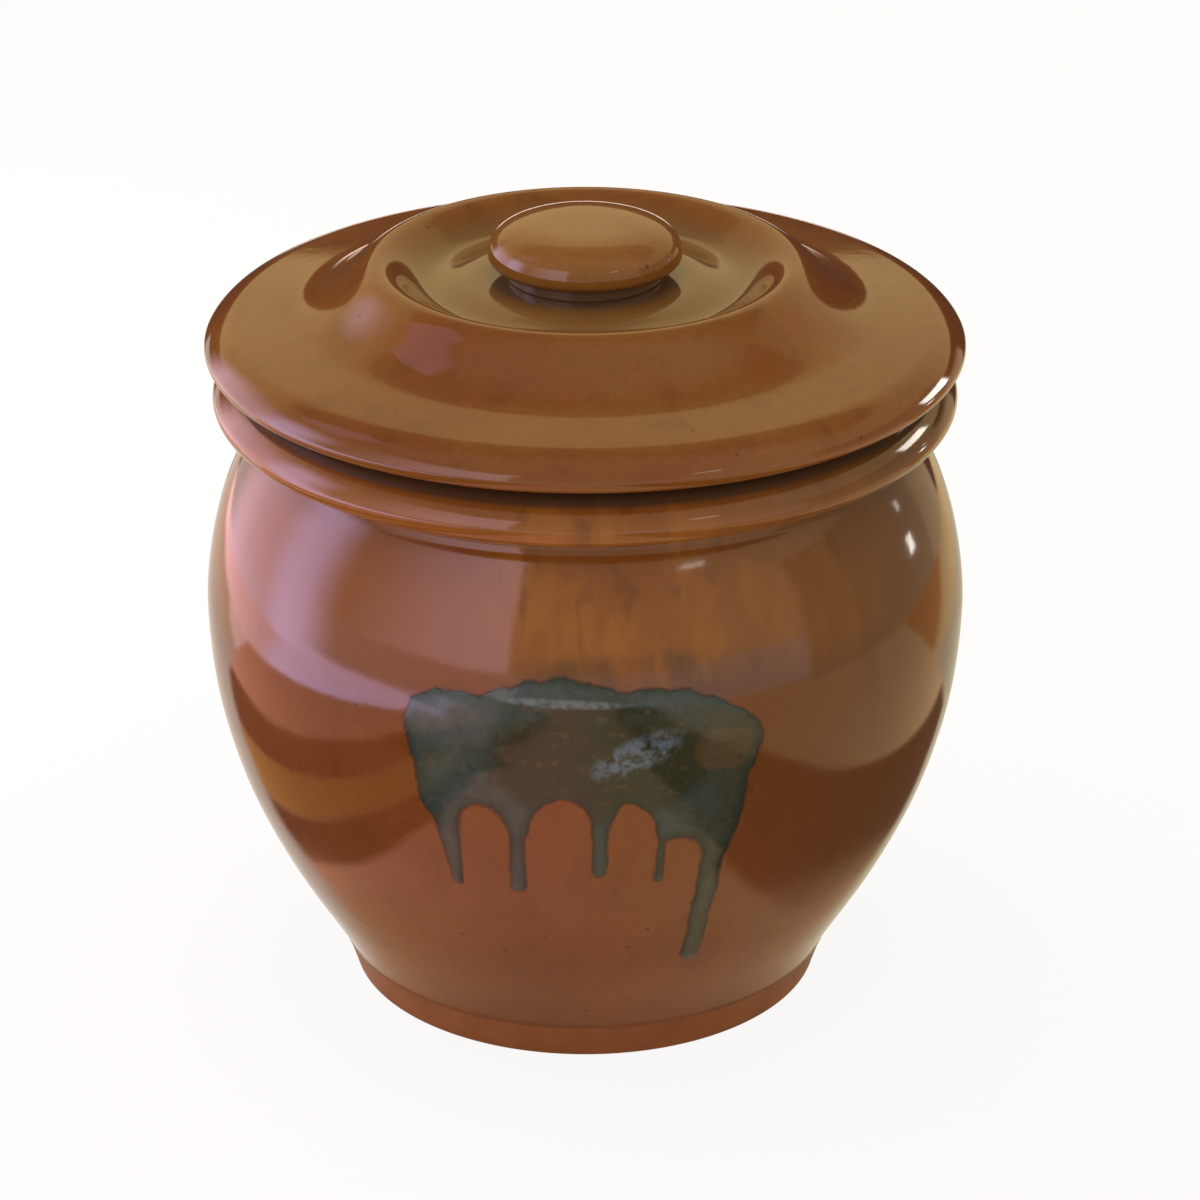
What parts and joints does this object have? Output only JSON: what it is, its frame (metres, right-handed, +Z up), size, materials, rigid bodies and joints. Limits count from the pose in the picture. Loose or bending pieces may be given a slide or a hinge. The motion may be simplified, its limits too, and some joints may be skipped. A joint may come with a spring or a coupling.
{
  "type": "pickle crock",
  "caption": "Round-bellied glazed stoneware crock with a rolled rim, a lift-off lid with a raised ring and flat knob, a poured front glaze and half-moon pressing weights inside.",
  "frame": {"origin": "middle of the foot, on the table that the crock stands on", "axes": "+Z up along the crock's axis of turning; the poured glaze faces -Y; +X to the right as the pour is seen"},
  "size_m": [0.202, 0.2028, 0.2123],
  "materials": {
    "brown_glaze": "glossy reddish-brown glaze",
    "pour_glaze": "glossy grey-green poured glaze with brown mottling",
    "lid_glaze": "glossy ochre-brown glaze",
    "knob_glaze": "glossy ochre-brown glaze",
    "weight_glaze": "satin brown glaze"
  },
  "bodies": {
    "crock_body": {"crock": "brown_glaze", "glaze_pour": "pour_glaze"},
    "lid_body": {"lid": "lid_glaze", "lid_knob": "knob_glaze"},
    "weight_left_body": {"weight_left": "weight_glaze"},
    "weight_right_body": {"weight_right": "weight_glaze"}
  },
  "joints": [
    {"name": "lid_lift", "type": "slide", "parent": "crock_body", "child": "lid_body", "axis": [0, 0, 1], "range_m": [0, 0.15]},
    {"name": "weight_left_lift", "type": "slide", "parent": "crock_body", "child": "weight_left_body", "axis": [0, 0, 1], "range_m": [0, 0.109]},
    {"name": "weight_right_lift", "type": "slide", "parent": "crock_body", "child": "weight_right_body", "axis": [0, 0, 1], "range_m": [0, 0.109]}
  ]
}
